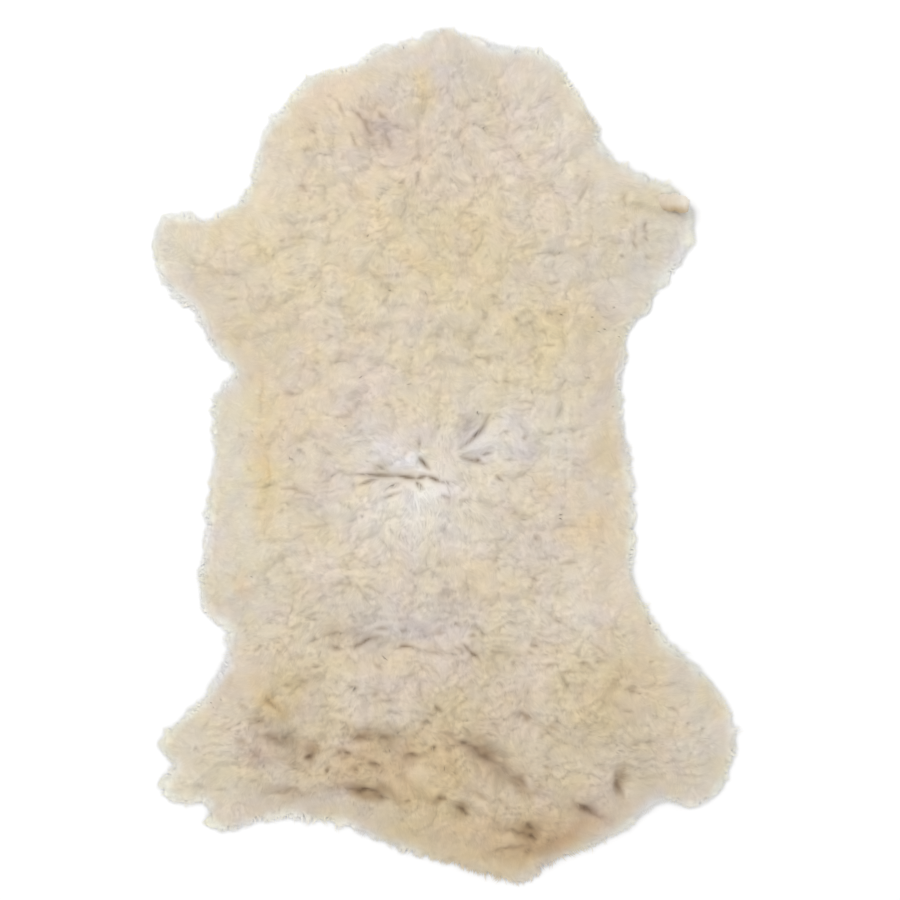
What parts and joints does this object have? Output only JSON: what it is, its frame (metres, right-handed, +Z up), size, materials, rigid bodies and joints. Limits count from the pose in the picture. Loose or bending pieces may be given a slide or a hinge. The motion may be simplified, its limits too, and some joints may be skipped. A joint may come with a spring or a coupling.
{
  "type": "sheepskin",
  "caption": "Whole tanned sheepskin with its wool on, lying flat with the wool up: a lumpy fleece with a neck, legs and a tail end, and a soft ragged rim.",
  "frame": {"origin": "centre of the sheepskin's footprint, on the surface that it lies on", "axes": "+Y from the tail to the neck, +X to the right as seen from above with the neck up, +Z up out of the wool"},
  "size_m": [0.6797, 0.9913, 0.0464],
  "materials": {
    "wool": "natural cream wool, soft and matt, stained ochre and tan in places",
    "pelt": "tanned suede on the flesh side, matt"
  },
  "bodies": {
    "root": {"sheepskin": "wool"}
  },
  "joints": []
}
